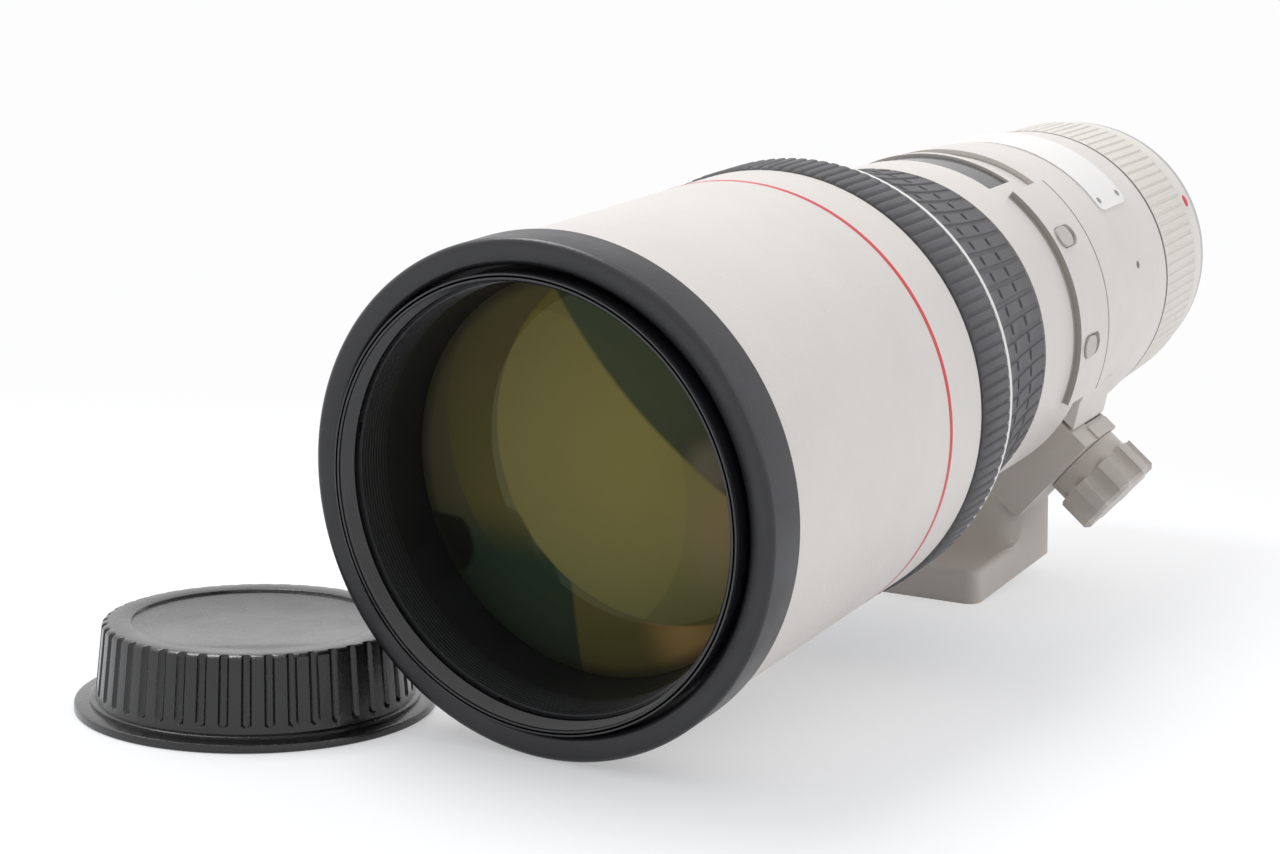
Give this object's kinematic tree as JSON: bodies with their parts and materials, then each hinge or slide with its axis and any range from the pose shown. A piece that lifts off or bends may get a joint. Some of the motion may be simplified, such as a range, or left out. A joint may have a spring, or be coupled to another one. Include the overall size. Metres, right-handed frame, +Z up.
{
  "type": "telephoto lens",
  "caption": "Long white telephoto lens with a sliding hood, a rubber focus ring, two switches, a hinged tripod collar with its foot, and its rear cap beside it",
  "frame": {"origin": "centre of the mount flange's seating face, on the optical axis", "axes": "+Y towards the camera body along the optical axis, +Z up with the focus window on top and the foot below, +X to the right seen from the front"},
  "size_m": [0.1401, 0.292, 0.105],
  "materials": {
    "white_paint": "fine satin off-white enamel",
    "grey_paint": "satin warm light grey enamel",
    "plate_enamel": "smooth off-white enamel",
    "black_paint": "matt black",
    "black_ring": "smooth dark grey",
    "grip_rubber": "matt dark grey rubber",
    "black_plastic": "matt black",
    "switch_plastic": "warm light grey, matt",
    "window_plastic": "clear flush window",
    "coated_glass": "multi-coated, green and amber reflections",
    "mount_chrome": "satin chromed brass",
    "screw_steel": "turned steel",
    "bare_brass": "bare brass",
    "red_paint": "signal red enamel"
  },
  "bodies": {
    "barrel": {"front_barrel": "white_paint", "filter_ring": "black_paint", "trim_ring": "black_paint", "front_glass": "coated_glass", "main_barrel": "white_paint", "window_glass": "window_plastic", "rear_barrel": "white_paint", "nameplate": "plate_enamel", "rear_ring": "white_paint", "mount_dot": "red_paint", "mount_plate": "mount_chrome", "mount_screws": "screw_steel", "rear_baffle": "black_plastic", "contact_block": "black_plastic", "contact_pins": "bare_brass", "rear_cell": "black_paint", "rear_glass": "coated_glass"},
    "hood_guide": {"hood_shoes": "bare_brass"},
    "hood": {"hood_tube": "white_paint", "hood_front_ring": "black_ring", "hood_grip": "grip_rubber"},
    "focus_grip": {"focus_ring": "grip_rubber"},
    "focus_drum": {"scale_drum": "black_paint"},
    "focus_group": {"focus_cell": "black_paint", "focus_glass": "coated_glass"},
    "focus_slider": {"focus_switch": "switch_plastic"},
    "range_slider": {"range_switch": "switch_plastic"},
    "collar": {"collar_foot": "grey_paint", "tripod_bush": "screw_steel", "hinge_pin": "screw_steel", "latch_plate": "plate_enamel"},
    "strap": {"collar_strap": "white_paint"},
    "clamp_slide": {"clamp_sleeve": "screw_steel"},
    "knob": {"clamp_knob": "grey_paint"},
    "cap": {"rear_cap": "black_plastic"}
  },
  "joints": [
    {"name": "hood_extend", "type": "slide", "parent": "barrel", "child": "hood_guide", "axis": [0, -1, 0], "range_m": [0, 0.058]},
    {"name": "hood_lock", "type": "hinge", "parent": "hood_guide", "child": "hood", "pos_m": [0, -0.16, 0], "axis": [0, 1, 0], "range_deg": [0, 15]},
    {"name": "focus_turn", "type": "hinge", "parent": "barrel", "child": "focus_grip", "pos_m": [0, -0.1358, 0], "axis": [0, 1, 0], "range_deg": [0, 150]},
    {"name": "drum_turn", "type": "hinge", "parent": "barrel", "child": "focus_drum", "pos_m": [0, -0.112, 0], "axis": [0, 1, 0], "range_deg": [0, 75]},
    {"name": "focus_slide", "type": "slide", "parent": "barrel", "child": "focus_group", "axis": [0, 1, 0], "range_m": [0, 0.012]},
    {"name": "focus_mode", "type": "slide", "parent": "barrel", "child": "focus_slider", "axis": [0, 1, 0], "range_m": [0, 0.003]},
    {"name": "focus_range", "type": "slide", "parent": "barrel", "child": "range_slider", "axis": [0, 1, 0], "range_m": [0, 0.003]},
    {"name": "collar_turn", "type": "hinge", "parent": "barrel", "child": "collar", "pos_m": [0, -0.0742, 0], "axis": [0, 1, 0], "continuous": true},
    {"name": "strap_open", "type": "hinge", "parent": "collar", "child": "strap", "pos_m": [-0.02747, -0.0742, 0.026], "axis": [0, -1, 0], "range_deg": [0, 70]},
    {"name": "clamp_pull", "type": "slide", "parent": "collar", "child": "clamp_slide", "axis": [0.7513, 0, -0.66], "range_m": [0, 0.004]},
    {"name": "clamp_turn", "type": "hinge", "parent": "clamp_slide", "child": "knob", "pos_m": [0.0249, -0.0703, -0.03226], "axis": [0.7513, 0, -0.66], "continuous": true},
    {"name": "cap_away", "type": "slide", "parent": "barrel", "child": "cap", "axis": [-1, 0, 0], "range_m": [0, 0.05]}
  ],
  "couplings": [
    {"joint": "drum_turn", "follows": "focus_turn", "ratio": 0.5},
    {"joint": "focus_slide", "follows": "focus_turn", "m_per_rad": 0.004584}
  ]
}
